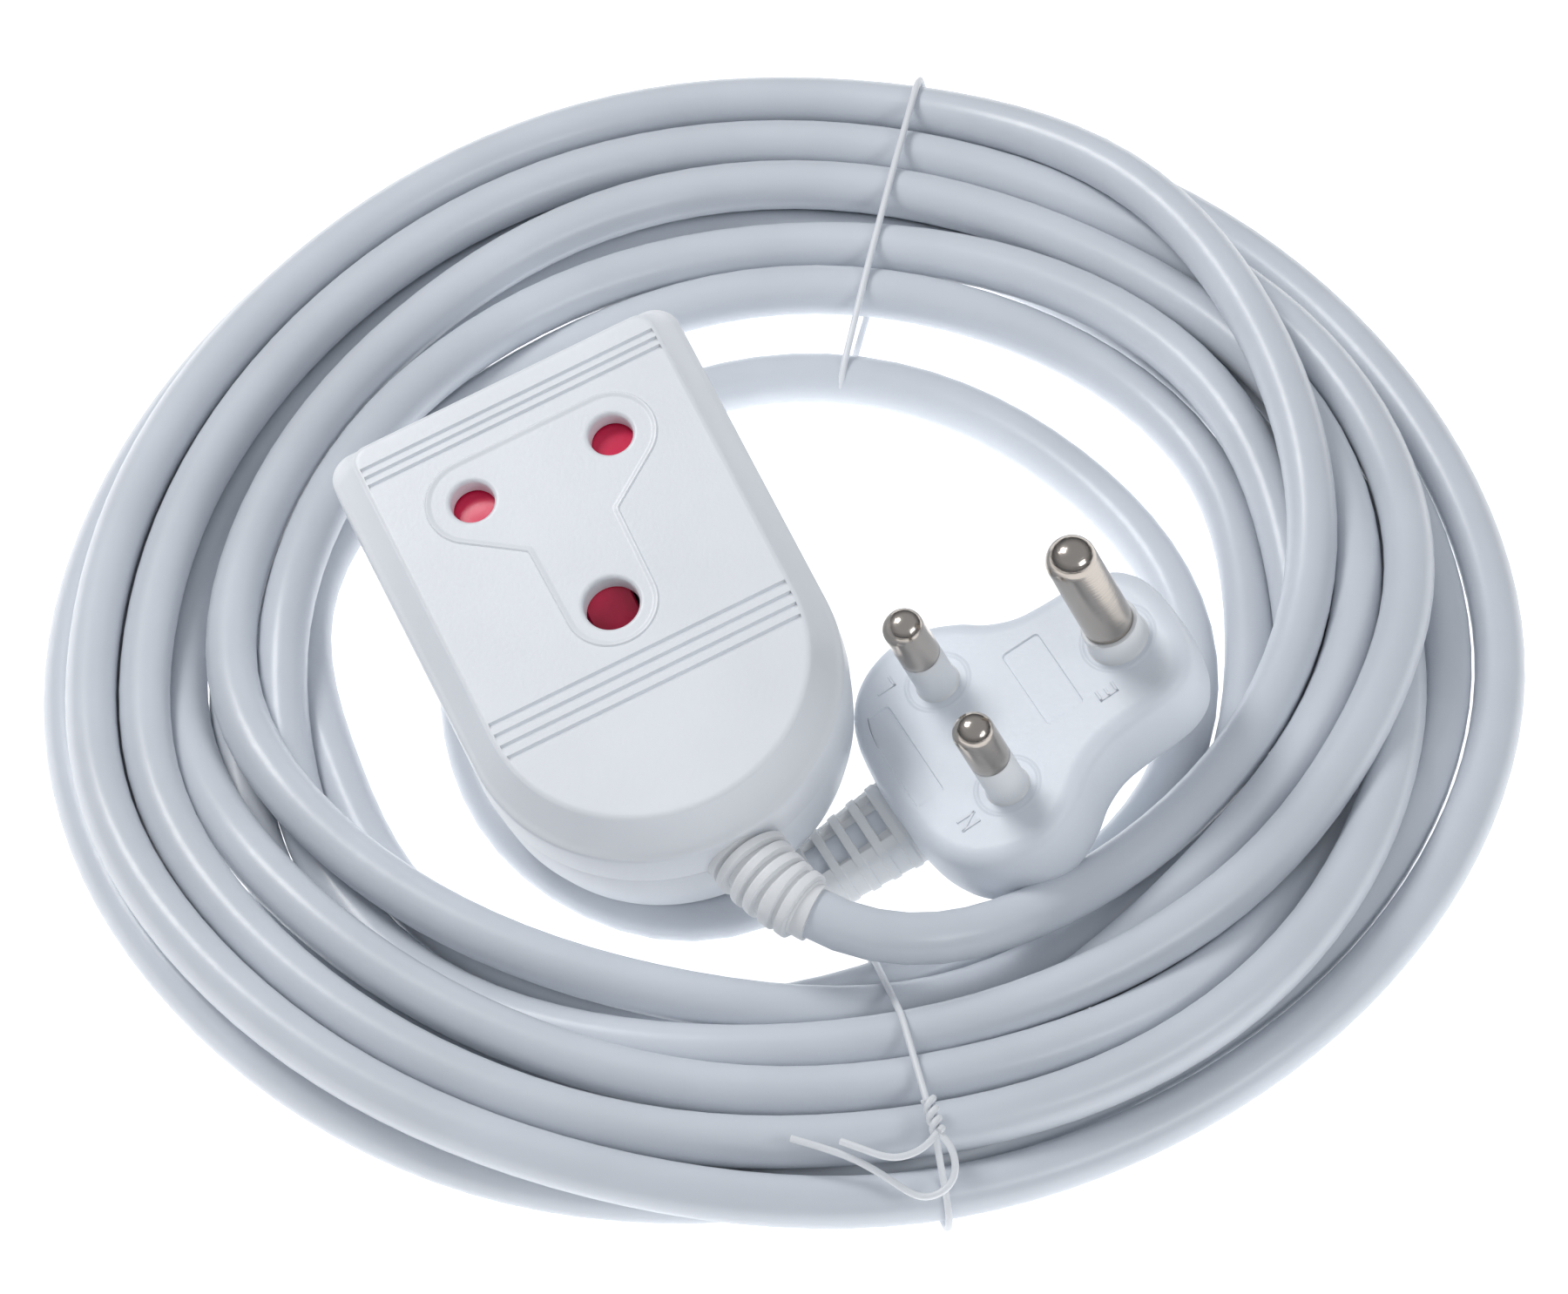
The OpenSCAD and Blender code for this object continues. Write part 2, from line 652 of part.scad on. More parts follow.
socket_top_cover();
socket_bottom_cover();
contact_carrier();
shutter();
shutter_spring();
live_contact();
neutral_contact();
earth_contact();
terminal_screws();
cover_screws();
cord_clamp();
clamp_screws();
socket_boot();
socket_live_core();
socket_neutral_core();
socket_earth_core();
plug_body();
plug_bridge();
live_pin();
neutral_pin();
earth_pin();
live_pin_sleeve();
neutral_pin_sleeve();
earth_pin_collar();
plug_crimps();
plug_live_core();
plug_neutral_core();
plug_earth_core();
plug_relief();
socket_lead();
plug_lead();
cord_coil();
tie_top();
tie_bottom();
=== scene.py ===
import math

import bmesh
import bpy
import numpy as np
from mathutils import Euler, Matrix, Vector
from mathutils.geometry import delaunay_2d_cdt


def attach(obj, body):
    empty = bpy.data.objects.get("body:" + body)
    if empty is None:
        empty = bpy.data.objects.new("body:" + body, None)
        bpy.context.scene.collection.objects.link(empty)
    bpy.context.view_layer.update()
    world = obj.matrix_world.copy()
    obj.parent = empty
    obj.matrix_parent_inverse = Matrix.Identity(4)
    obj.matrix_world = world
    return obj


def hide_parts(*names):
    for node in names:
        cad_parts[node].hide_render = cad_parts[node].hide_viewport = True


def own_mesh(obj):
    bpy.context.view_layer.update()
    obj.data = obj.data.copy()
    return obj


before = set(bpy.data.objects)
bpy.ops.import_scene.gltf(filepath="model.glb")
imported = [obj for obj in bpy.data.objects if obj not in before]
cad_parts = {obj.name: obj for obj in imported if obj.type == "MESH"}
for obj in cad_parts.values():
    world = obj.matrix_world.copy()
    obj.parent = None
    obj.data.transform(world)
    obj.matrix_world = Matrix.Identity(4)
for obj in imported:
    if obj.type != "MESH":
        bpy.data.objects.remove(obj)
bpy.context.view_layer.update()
MM = 0.001
ROOT = "cord_set"
SHUTTER = "shutter"

# ---- places shared with the CAD model, in millimetres and degrees ----
COIL_AT = np.array([22.4, 1.5, 0.0])
SOCKET_AT = COIL_AT + [-38.0, -2.8, 50.1]
SOCKET_TURN = (7, -13, 23)
PLUG_AT = COIL_AT + [33.0, -42.0, 29.0]
PLUG_TURN = (20, -4, -64)
CORD_D = 8.6
CORD_R = CORD_D / 2
CORD_AXIS_Z = -15.0  # the flex's axis inside the socket, below its face
RELIEF_Z = -9.5  # the flex's axis inside the plug, below its face
SOCKET_WALL_Y = -73.5  # the socket's round end, where the boot starts


def turn(angles):
    """Rotation by x, then y, then z, as the CAD model's rotate() does."""
    return np.array(Euler([math.radians(a) for a in angles], "XYZ").to_matrix())


R_SOCKET, R_PLUG = turn(SOCKET_TURN), turn(PLUG_TURN)


def in_socket(p):
    """A point of the socket, whose face is z = 0, in the frame."""
    return SOCKET_AT + np.asarray(p, float) @ R_SOCKET.T


def in_plug(p):
    """A point of the plug, whose face is z = 0, in the frame."""
    return PLUG_AT + np.asarray(p, float) @ R_PLUG.T


# ---- camera ----
ELEVATION = math.radians(51.92)
TARGET = COIL_AT + [2.06, -1.16, 0.0]
DISTANCE = 1450.0


def collection_add(obj):
    bpy.context.scene.collection.objects.link(obj)
    return obj


def make_camera():
    """The photo's camera: high, in front of the coil and far away."""
    data = bpy.data.cameras.new("camera")
    data.lens, data.sensor_width = 196.03, 36.0
    data.clip_start, data.clip_end = 0.05, 20.0
    cam = collection_add(bpy.data.objects.new("camera", data))
    back = Vector((0, -math.cos(ELEVATION), math.sin(ELEVATION)))
    cam.location = Vector(TARGET * MM) + back * DISTANCE * MM
    cam.rotation_mode = "QUATERNION"
    cam.rotation_quaternion = (-back).to_track_quat("-Z", "Y")
    bpy.context.scene.camera = cam


make_camera()

# ---- the flex ----
# Each row is one pass round the coil: radius and height in mm at twelve angles, from FIRST_ANGLE on.
# The passes follow one another, from the socket's lead to the plug's lead.
L, U = 4.4, 12.4  # heights of the lower and the upper layer
PASSES = [
    [
        (82.5, 23), (81.5, 15.5), (87.6, 15), (95, 20), (102.5, 20), (111.7, 14.5),
        (113, 13), (109.4, 13), (109.6, 13), (116.2, 13), (120.7, 13.5), (120.8, 13),
    ],
    [
        (120.7, 8), (120.5, L), (120.4, L), (118.9, L), (116.6, L), (116, L),
        (115.5, L), (112.5, L), (115, L), (121, L), (121.7, L), (121.3, L),
    ],
    [
        (112.6, L), (112, L), (111.7, L), (110.3, L), (108, L), (107.4, L),
        (106.9, L), (103.9, L), (106.4, L), (112.4, L), (112.8, L), (112.4, L),
    ],
    [
        (104, L), (97.5, L), (93, L), (91.5, 11), (89, U), (82.5, U),
        (78, U), (75.7, U), (79.6, 11), (84.5, 10), (93, 5), (93.5, U),
    ],
    [
        (94.5, 14.5), (99.5, 16), (106.4, 16), (109.8, 14), (106.5, U), (102, U),
        (101.2, U), (97.9, U), (99.7, U), (107.1, U), (112.3, U), (112.4, 13),
    ],
    [
        (113.5, 13), (114.1, U), (110.8, 11), (102, L), (99.3, L), (98.8, L),
        (98.4, L), (95.3, L), (97.8, L), (102.5, 8), (101, U), (102, U),
    ],
    [
        (102.5, U), (105.5, 11), (102, 5), (94, L), (90.8, L), (90.1, L),
        (89.6, L), (86.6, L), (89, L), (94.5, L), (103, L), (103.5, L),
    ],
    [
        (95, 5), (91, U), (96.4, U), (101.5, U), (98.8, U), (93.5, U),
        (90.3, U), (85.5, U), (86.3, U), (90, 14), (87, U), (85, U),
    ],
    [
        (87, 9), (84.5, L), (81.5, L), (84, L), (81, 7), (73.3, 11.5),
        (70.5, 11), (72, 7), (78.5, L), (86, L), (86.5, L), (86, L),
    ],
    [
        (80, L), (76.5, L), (77, L), (66.5, L), (60, L), (57.3, 5.4),
        (53.5, 5.6), (50.4, 4.6), (50, L), (54, L), (62.6, L), (66, L),
    ],
]
FIRST_ANGLE = 285
STEPS = 48  # steps in one turn
PER_TARGET = STEPS // 12  # steps from one pair of the table to the next
SETTLE_ROUNDS = 700
HELD_ROUNDS = 300  # rounds in which the strands are held close to their targets
CALM_ROUNDS = 60  # last rounds, with little smoothing
STRAND_GAP = 0.4  # wanted between strands while they settle
FLOOR_GAP = 0.05
SINK = 0.03  # how far every strand drops in one round


def smooth_line(points, counts):
    """Natural cubic spline through the points, with that many steps in each span.

    Points in space are spaced by the root of their distance, and rows of the coil's table evenly.
    """
    p = np.asarray(points, float)
    n = len(p)
    gaps = np.maximum(np.linalg.norm(np.diff(p, axis=0), axis=1), 1e-6)
    spans = gaps ** 0.5 if p.shape[1] == 3 else np.ones(n - 1)
    t = np.concatenate([[0], np.cumsum(spans)])
    h = np.diff(t)
    a = np.zeros((n, n))
    b = np.zeros_like(p)
    a[0, 0] = a[-1, -1] = 1
    for i in range(1, n - 1):
        a[i, i - 1], a[i, i], a[i, i + 1] = h[i - 1], 2 * (h[i - 1] + h[i]), h[i]
        b[i] = 6 * ((p[i + 1] - p[i]) / h[i] - (p[i] - p[i - 1]) / h[i - 1])
    m = np.linalg.solve(a, b)
    out = []
    for i in range(n - 1):
        for k in range(counts):
            u = t[i] + h[i] * k / counts
            w0, w1 = t[i + 1] - u, u - t[i]
            curve = m[i] * w0 ** 3 / (6 * h[i]) + m[i + 1] * w1 ** 3 / (6 * h[i])
            left = (p[i] / h[i] - m[i] * h[i] / 6) * w0
            right = (p[i + 1] / h[i] - m[i + 1] * h[i] / 6) * w1
            out.append(curve + left + right)
    out.append(p[-1])
    return np.array(out)


def wind_coil():
    """Radius and height of the flex at every step, after the passes have settled on each other.

    At each angle the strands are circles in one upright plane. They are pulled to their targets,
    sink, are smoothed along the flex and push each other apart.
    """
    targets = smooth_line([p for row in PASSES for p in row], PER_TARGET)
    n = len(targets)
    rows = -(-n // STEPS)
    grid = np.full((rows * STEPS, 2), np.nan)
    grid[:n] = targets
    want = grid.reshape(rows, STEPS, 2)
    pos = want.copy()
    real = ~np.isnan(want[..., 0])
    flat = real.reshape(-1)
    ii, jj = np.triu_indices(rows, 1)
    for step in range(SETTLE_ROUNDS):
        pull = 0.06 if step < HELD_ROUNDS else 0.012
        pos += pull * (want - pos)
        pos[..., 1] -= SINK
        line = pos.reshape(-1, 2)
        mid = line.copy()
        mid[2:n - 2] = (4 * (line[1:n - 3] + line[3:n - 1]) - line[:n - 4] - line[4:n]) / 6
        ease = 0.35 if step < SETTLE_ROUNDS - CALM_ROUNDS else 0.1
        line[:n] += ease * (mid[:n] - line[:n])
        for _ in range(3):
            d = pos[jj] - pos[ii]
            dist = np.sqrt((d ** 2).sum(-1)) + 1e-9
            over = np.where(np.isnan(dist), 0, np.maximum(CORD_D + STRAND_GAP - dist, 0))
            push = np.nan_to_num(d / dist[..., None]) * over[..., None] * 0.5
            move = np.zeros_like(pos)
            np.add.at(move, jj, push)
            np.add.at(move, ii, -push)
            pos += np.where(real[..., None], move * 0.7, 0)
            floored = np.maximum(pos[..., 1], CORD_R + FLOOR_GAP)
            pos[..., 1] = np.where(real, floored, pos[..., 1])
    return pos.reshape(-1, 2)[flat]


def coil_point(k, rz):
    """Place in the frame of one step of the coil."""
    a = math.radians(FIRST_ANGLE + k * 360 / STEPS)
    return COIL_AT + [rz[0] * math.cos(a), rz[0] * math.sin(a), rz[1]]


coil_rz = wind_coil()
coil_xyz = np.array([coil_point(k, rz) for k, rz in enumerate(coil_rz)])

# The socket's lead starts inside the boot and bends to the right, down onto the coil.
BEND_CENTRE, BEND_R = (21.8, -50.9), 31.0
BEND_STOPS = ((-48, 26.4), (-30, 25.6), (-12, 24.9), (6, 24.0))  # heading and height


def bend_point(heading, z):
    """Place in the frame of one point of the bend."""
    a = math.radians(heading)
    x, y = BEND_CENTRE[0] + BEND_R * math.sin(a), BEND_CENTRE[1] - BEND_R * math.cos(a)
    return COIL_AT + [x, y, z]


wall = in_socket([0, SOCKET_WALL_Y, CORD_AXIS_Z])
lead_in = [in_socket([0, y, CORD_AXIS_Z]) for y in (-59, -62.5, -66)]
lead_bend = [bend_point(heading, z) for heading, z in BEND_STOPS]
# The plug's lead climbs from the coil's opening into the ladder relief.
lead_out = [COIL_AT + [-13, -63.6, 4.6]]
lead_out += [in_plug([0, y, RELIEF_Z]) for y in (-38, -29, -22, -15)]
START_SKIP, END_SKIP = 3, 2  # steps of the coil that the leads replace


def resample(p, spacing):
    """The same line with evenly spaced points."""
    s = np.concatenate([[0], np.cumsum(np.linalg.norm(np.diff(p, axis=0), axis=1))])
    n = int(round(s[-1] / spacing))
    q = np.linspace(0, s[-1], n + 1)
    return np.stack([np.interp(q, s, p[:, k]) for k in range(3)], axis=1)


ROUTE_SPACING = 6.0
route = np.concatenate([lead_in, lead_bend, coil_xyz[START_SKIP:-END_SKIP:2], lead_out])
route = resample(smooth_line(route, 3), ROUTE_SPACING)
for _ in range(6):
    route[1:-1] += 0.25 * (route[:-2] + route[2:] - 2 * route[1:-1])
route[:, 2] = np.maximum(route[:, 2], CORD_R + FLOOR_GAP)


# ---- mesh helpers, in millimetres ----
def mesh_piece(name, verts, faces, body=ROOT, smooth=35):
    """One mesh object that rides on a body, smooth but for edges sharper than smooth degrees."""
    mesh = bpy.data.meshes.new(name)
    mesh.from_pydata([tuple(v) for v in np.asarray(verts, float) * MM], [], [tuple(f) for f in faces])
    mesh.validate()
    mesh.update()
    work = bmesh.new()
    work.from_mesh(mesh)
    bmesh.ops.remove_doubles(work, verts=work.verts, dist=0.00001)
    bmesh.ops.recalc_face_normals(work, faces=work.faces)
    work.to_mesh(mesh)
    work.free()
    for poly in mesh.polygons:
        poly.use_smooth = True
    mesh.set_sharp_from_angle(angle=math.radians(smooth))
    obj = collection_add(bpy.data.objects.new(name, mesh))
    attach(obj, body)
    return obj


class Shape:
    """Vertices and faces gathered from several parts of one piece."""

    def __init__(self):
        self.verts, self.faces = [], []

    def add(self, verts, faces):
        base = len(self.verts)
        self.verts += [tuple(v) for v in verts]
        self.faces += [tuple(base + i for i in f) for f in faces]

    def rings(self, rings, cap_start=False, cap_end=False):
        """Skin over closed rings with the same number of points."""
        n = len(rings[0])
        faces = [(i * n + k, i * n + (k + 1) % n, (i + 1) * n + (k + 1) % n, (i + 1) * n + k)
                 for i in range(len(rings) - 1) for k in range(n)]
        if cap_start:
            faces.append(tuple(range(n))[::-1])
        if cap_end:
            faces.append(tuple((len(rings) - 1) * n + k for k in range(n)))
        self.add([p for ring in rings for p in ring], faces)

    def plate(self, outer, holes, height, lines=()):
        """Flat triangulated sheet inside the outer loop and outside the holes, raised by height(xy)."""
        points, edges = [], []
        for loop, closed in [(outer, True)] + [(h, True) for h in holes] + list(lines):
            base, n = len(points), len(loop)
            points += [Vector(p) for p in loop]
            edges += [(base + i, base + (i + 1) % n) for i in range(n if closed else n - 1)]
        found = delaunay_2d_cdt(points, edges, [], 0, 1e-5)
        xy = np.array([tuple(p) for p in found[0]])
        tris = found[2]
        centres = np.array([xy[list(f)].mean(axis=0) for f in tris])
        keep = inside(centres, outer)
        for hole in holes:
            keep &= ~inside(centres, hole)
        z = height(xy)
        self.add(np.column_stack([xy, z]), [f for f, k in zip(tris, keep) if k])

    def piece(self, name, place, body=ROOT, smooth=35):
        return mesh_piece(name, [place(v) for v in np.asarray(self.verts)], self.faces, body, smooth)


def inside(points, loop):
    """Which of the points lie inside a closed loop."""
    loop = np.asarray(loop, float)
    x, y = points[:, 0][:, None], points[:, 1][:, None]
    a, b = loop, np.roll(loop, -1, axis=0)
    crosses = (a[:, 1] > y) != (b[:, 1] > y)
    with np.errstate(divide="ignore", invalid="ignore"):
        at = (b[:, 0] - a[:, 0]) * (y - a[:, 1]) / (b[:, 1] - a[:, 1]) + a[:, 0]
    return (np.sum(crosses & (x < at), axis=1) % 2) == 1


def distance_to(points, loop):
    """Distance of each point from a closed loop."""
    a = np.asarray(loop, float)
    b = np.roll(a, -1, axis=0)
    d = b - a
    rel = points[:, None] - a[None]
    t = np.clip((rel * d).sum(-1) / np.maximum((d * d).sum(-1), 1e-9), 0, 1)
    return np.sqrt(((rel - t[..., None] * d) ** 2).sum(-1)).min(axis=1)


def arc(x, y, r, a0, a1, n):
    """n + 1 points on a circle, from angle a0 to a1 in degrees."""
    angles = [math.radians(a0 + (a1 - a0) * k / n) for k in range(n + 1)]
    return [(x + r * math.cos(a), y + r * math.sin(a)) for a in angles]


def circle(x, y, r, n=64):
    return arc(x, y, r, 0, 360, n)[:-1]


def rounded_box(x, y, w, h, c, n):
    """Closed loop round a box of half width w and half height h, with corner radius c."""
    return (arc(x + w - c, y + h - c, c, 0, 90, n) + arc(x - w + c, y + h - c, c, 90, 180, n)
            + arc(x - w + c, y - h + c, c, 180, 270, n) + arc(x + w - c, y - h + c, c, 270, 360, n))


def raised(loop, z):
    return [(p[0], p[1], z) for p in loop]


# ---- trailing socket ----
FACE_W, FACE_TOP, ROUND_Y = 27.8, 18.7, -41.5
FACE_WALL = 3.2
SOCKET_BOTTOM = -33.0
LINE_X, EARTH_Y = 12.7, 28.6
HOLES = [(-LINE_X, 0.0, 3.7), (LINE_X, 0.0, 3.7), (0.0, -EARTH_Y, 4.65)]
GROOVES = [14.3, 12.6, 10.9, -39.2, -41.5, -43.8, -46.1]
GROOVE_HALF, GROOVE_DEPTH = 0.5, 0.5
LOBE_R = 7.6
RIDGE_HALF, RIDGE_H = 0.42, 0.28
PANEL_RISE = 0.1
RIM = 0.55  # width of the rounded rim round each hole
EDGE = -0.9  # where the flat face ends and its rounded edge starts
SOCKET_SCREWS = [(-21.4, 11.5), (21.4, 11.5), (-17.0, -52.5), (17.0, -52.5)]


def socket_loop(grow, corner=3.0, n=96):
    """Plan of the housing, grown outwards from the face's edge."""
    w, top, c = FACE_W + grow, FACE_TOP + grow * 0.9, max(corner + grow * 0.4, 0.8)
    return (arc(w - c, top - c, c, 0, 90, 10) + arc(c - w, top - c, c, 90, 180, 10)
            + arc(0, ROUND_Y, w, 180, 360, n))


def panel_loop(grow):
    """Outline round the three holes, with lobes and two hollow corners."""
    r = LOBE_R + grow
    tilt = math.radians(-56.7)
    nx, ny = math.cos(tilt), math.sin(tilt)
    corner_y = (nx * LINE_X + r - nx * r) / ny
    right = arc(LINE_X, 0, r, 90, -56.7, 20) + arc(r + 1.5, corner_y - 1.2, 1.2, 125, 180, 4)[1:]
    bottom = arc(0, -EARTH_Y, r, 0, -180, 28)
    left = [(-x, y) for x, y in reversed(right)]
    return right + bottom + left


def face_height(xy):
    """Height of the face: grooves, and a raised panel with a fine ridge round it."""
    z = np.zeros(len(xy))
    for y in GROOVES:
        z -= GROOVE_DEPTH * np.clip((GROOVE_HALF - np.abs(xy[:, 1] - y)) / 0.28, 0, 1)
    edge = distance_to(xy, panel_loop(0))
    z += RIDGE_H * np.clip((RIDGE_HALF - edge) / 0.26, 0, 1)
    within = inside(xy, panel_loop(0)) & (edge > 0.2)
    return z + np.where(within, PANEL_RISE, 0)


def groove_lines():
    """Lines across the face that the grooves' edges follow."""
    lines = []
    for groove in GROOVES:
        for dy in (-0.62, -0.5, -0.22, 0.22, 0.5, 0.62):
            y = groove + dy
            half = FACE_W + EDGE
            if y <= ROUND_Y:
                half = math.sqrt(half ** 2 - (y - ROUND_Y) ** 2)
            lines.append(([(-half, y), (half, y)], False))
    return lines


# Sections of the covers: how far each level stands out from the face's edge, and its height
UPPER_SKIRT = [
    (EDGE, 0.0), (-0.5, -0.06), (-0.15, -0.3), (0.05, -0.75), (0.45, -1.6), (2.9, -6.0), (3.5, -6.75),
    (3.95, -7.1), (4.15, -7.6), (4.2, -8.2), (4.25, -14.2), (4.15, -14.7), (3.8, -15.0)
]
UPPER_INNER = [(-1.2, -FACE_WALL), (-0.9, -6.6), (1.4, -7.4), (1.4, -14.9), (1.5, -15.0), (3.8, -15.0)]
LOWER_SKIRT = [
    (1.0, -15.1), (3.5, -15.1), (3.85, -15.4), (3.9, -16.0), (3.7, -20.0), (3.1, -25.0), (1.9, -29.2),
    (0.7, -31.4), (-0.8, -32.6), (-2.6, SOCKET_BOTTOM)
]
LOWER_INNER = [(1.0, -15.1), (0.4, -20), (-1, -28), (-3.4, -31)]
HOLE_WALL = [(RIM, 0.1), (0.38, 0.02), (0.12, -0.25), (0.0, -0.6), (0.0, -FACE_WALL)]
SCREW_WELL = [(3.3, SOCKET_BOTTOM), (3.1, -32.7), (3.1, -26.6), (1.4, -26.5)]


def level_at(z):
    """Height function of a level sheet."""
    return lambda xy: np.full(len(xy), z)


def build_top_cover():
    """Upper shell: face, skirt, hole walls and inner skin."""
    s = Shape()
    rims = [circle(x, y, r + RIM) for x, y, r in HOLES]
    lines = [(panel_loop(g), True) for g in (-0.8, -0.42, -0.16, 0.16, 0.42, 0.8)]
    lines += groove_lines()
    lines += [(circle(x, y, r + RIM + 0.3), True) for x, y, r in HOLES]
    lines.append((socket_loop(EDGE - 0.35), True))
    s.plate(socket_loop(EDGE), rims, face_height, lines)
    s.rings([raised(socket_loop(g), z) for g, z in UPPER_SKIRT])
    for x, y, r in HOLES:
        s.rings([raised(circle(x, y, r + g), z) for g, z in HOLE_WALL])
    s.plate(socket_loop(-1.2), [circle(x, y, r) for x, y, r in HOLES], level_at(-FACE_WALL))
    s.rings([raised(socket_loop(g), z) for g, z in UPPER_INNER])
    return s.piece("socket_shell_upper", in_socket)


def build_bottom_cover():
    """Lower shell, with wells for the four cover screws."""
    s = Shape()
    s.rings([raised(socket_loop(g), z) for g, z in LOWER_SKIRT])
    wells = [circle(x, y, SCREW_WELL[0][0], 40) for x, y in SOCKET_SCREWS]
    s.plate(socket_loop(-2.6), wells, level_at(SOCKET_BOTTOM))
    for x, y in SOCKET_SCREWS:
        s.rings([raised(circle(x, y, r, 40), z) for r, z in SCREW_WELL], cap_end=True)
    s.rings([raised(socket_loop(g), z) for g, z in LOWER_INNER], cap_end=True)
    return s.piece("socket_shell_lower", in_socket)


def directions(points):
    """Unit direction of the line at every point."""
    t = np.gradient(points, axis=0)
    return t / np.linalg.norm(t, axis=1)[:, None]


def round_rings(p, side, up, radii, n):
    """Rings of n points round a line, from its sideways and upward vectors."""
    angles = [2 * math.pi * k / n for k in range(n)]
    return [[p[i] + r * (math.cos(a) * side[i] + math.sin(a) * up[i]) for a in angles]
            for i, r in enumerate(radii)]


def sweep(s, p, radii, n, across=(0, 0, 1.0)):
    """Capped round tube along a line that never runs along the across vector."""
    t = directions(p)
    side = np.cross(t, across)
    side /= np.linalg.norm(side, axis=1)[:, None]
    s.rings(round_rings(p, side, np.cross(side, t), radii, n), True, True)


def as_is(p):
    return p


def build_flex():
    s = Shape()
    sweep(s, route, np.full(len(route), CORD_R), 28)
    return s.piece("flex", as_is, smooth=60)


BOOT_STEP = 0.25
BOOT_TAIL = 64  # steps from the socket's wall to the boot's end
RIBS, RIB_PITCH, RIB_W = 5, 2.7, 1.75
RIB_R, RIB_TAPER = 6.75, 0.17
BOOT_NECK_R, BOOT_INNER_R, BOOT_LIP_R = 5.3, 6.6, 4.9


def nearest(line, point):
    return int(np.argmin(np.linalg.norm(line - point, axis=1)))


def build_boot():
    """Ribbed boot that bends with the flex: a thick part inside the wall, then ribs and a lip."""
    s = Shape()
    dense = resample(route, BOOT_STEP)
    start = nearest(dense, in_socket([0, -66.3, CORD_AXIS_Z]))
    wall_at = nearest(dense, wall)
    line = dense[start:wall_at + BOOT_TAIL]
    along = (np.arange(len(line)) + start - wall_at) * BOOT_STEP
    radii = np.full(len(line), BOOT_NECK_R)
    radii[along < 0.4] = BOOT_INNER_R
    for i in range(RIBS):
        a = along - (1.0 + i * RIB_PITCH)
        rib = RIB_R - RIB_TAPER * i - 0.3 * np.clip(np.abs(a - 0.87) - 0.6, 0, 1)
        radii = np.maximum(radii, np.where((a > 0) & (a < RIB_W), rib, 0))
    radii[along > 14.2] = BOOT_LIP_R
    sweep(s, line, radii, 56)
    return s.piece("socket_boot_ribs", as_is, smooth=28), line[-1]


def box_shape(s, lo, hi, bevel):
    """Box with rounded upright edges and eased top and bottom."""
    cx, cy = (lo[0] + hi[0]) / 2, (lo[1] + hi[1]) / 2
    hx, hy = (hi[0] - lo[0]) / 2, (hi[1] - lo[1]) / 2
    e = bevel * 0.6
    levels = [(e, lo[2]), (e * 0.3, lo[2] + e * 0.3), (0, lo[2] + e),
              (0, hi[2] - e), (e * 0.3, hi[2] - e * 0.3), (e, hi[2])]
    s.rings([raised(rounded_box(cx, cy, hx - g, hy - g, bevel, 5), z) for g, z in levels], True, True)


def build_shutter():
    """Sliding plate with its stem, and the ramp under the earth hole."""
    s = Shape()
    stem = 4.2
    box_shape(s, (-17.6, -4.5, -5.7), (17.6, 4.6, -3.5), 0.5)
    box_shape(s, (-stem, -23.2, -5.7), (stem, -3.0, -3.55), 0.5)
    ramp = []
    for x, e in ((-stem, 0.25), (0.3 - stem, 0), (stem - 0.3, 0), (stem, 0.25)):
        ramp.append([
            (x, -21.2, -7.1 + e), (x, -22.6, -3.6 - e), (x, -24.0, -3.9 - e), (x, -28.8, -6.9 - e),
            (x, -33.2 + e, -10.1 - e), (x, -33.4 + e, -11.4 + e), (x, -24, -7.2 + e)
        ])
    s.rings(ramp, True, True)
    return s.piece("shutter_slide_plate", in_socket, SHUTTER, 30)


SPRING_Z, SPRING_END_Y = -4.6, 16.2


def build_spring():
    """Return spring between the shutter and the cover's straight end."""
    s = Shape()
    turns, per, r, length = 6, 16, 1.1, 10.8
    steps = np.arange(turns * per + 1)
    a = 2 * math.pi * steps / per
    line = np.column_stack([r * np.cos(a), 5.0 + length * steps / (turns * per), SPRING_Z + r * np.sin(a)])
    sweep(s, line, np.full(len(line), 0.2), 8, across=(0, 1.0, 0))
    return s.piece("shutter_return_spring", in_socket, smooth=60)


# ---- plug ----
def closed_spline(points, per=8):
    """Smooth closed loop through the points (Catmull-Rom)."""
    p = [np.array(q, float) for q in points]
    n, out = len(p), []
    for i in range(n):
        a, b, c, d = p[i - 1], p[i], p[(i + 1) % n], p[(i + 2) % n]
        for k in range(per):
            t = k / per
            square, cube = 2 * a - 5 * b + 4 * c - d, 3 * b - a - 3 * c + d
            out.append(0.5 * (2 * b + (c - a) * t + square * t * t + cube * t ** 3))
    return np.array(out)


# Right half of the body's outline, from the cord end to the earth end
HALF_PLUG = [
    (0, -17.9), (5, -17.7), (13, -16.8), (19.4, -14.2), (23.8, -9.6), (26, -3.4), (25.4, 2.6), (22.4, 8.2),
    (18.8, 12.4), (16.6, 16.8), (15.9, 21.6), (15.6, 27), (14.8, 32), (12, 36), (7, 38.3)
]
LEFT_PLUG = [(-x, y) for x, y in reversed(HALF_PLUG[1:])]
PLUG_LINE = closed_spline(HALF_PLUG + [(0, 38.9)] + LEFT_PLUG)
PLUG_LINE[:, 0] *= 0.985  # slightly narrower than the points


def plug_loop(inset):
    """The body's outline, drawn in by inset."""
    p = PLUG_LINE
    t = np.roll(p, -1, axis=0) - np.roll(p, 1, axis=0)
    t /= np.linalg.norm(t, axis=1)[:, None]
    return [tuple(q) for q in p + inset * np.column_stack([-t[:, 1], t[:, 0]])]


# Name, place, radius and length of each pin
PLUG_PINS = [
    ("live", -LINE_X, 0.0, 3.525, 20.6),
    ("neutral", LINE_X, 0.0, 3.525, 20.6),
    ("earth", 0.0, EARTH_Y, 4.355, 28.6)
]
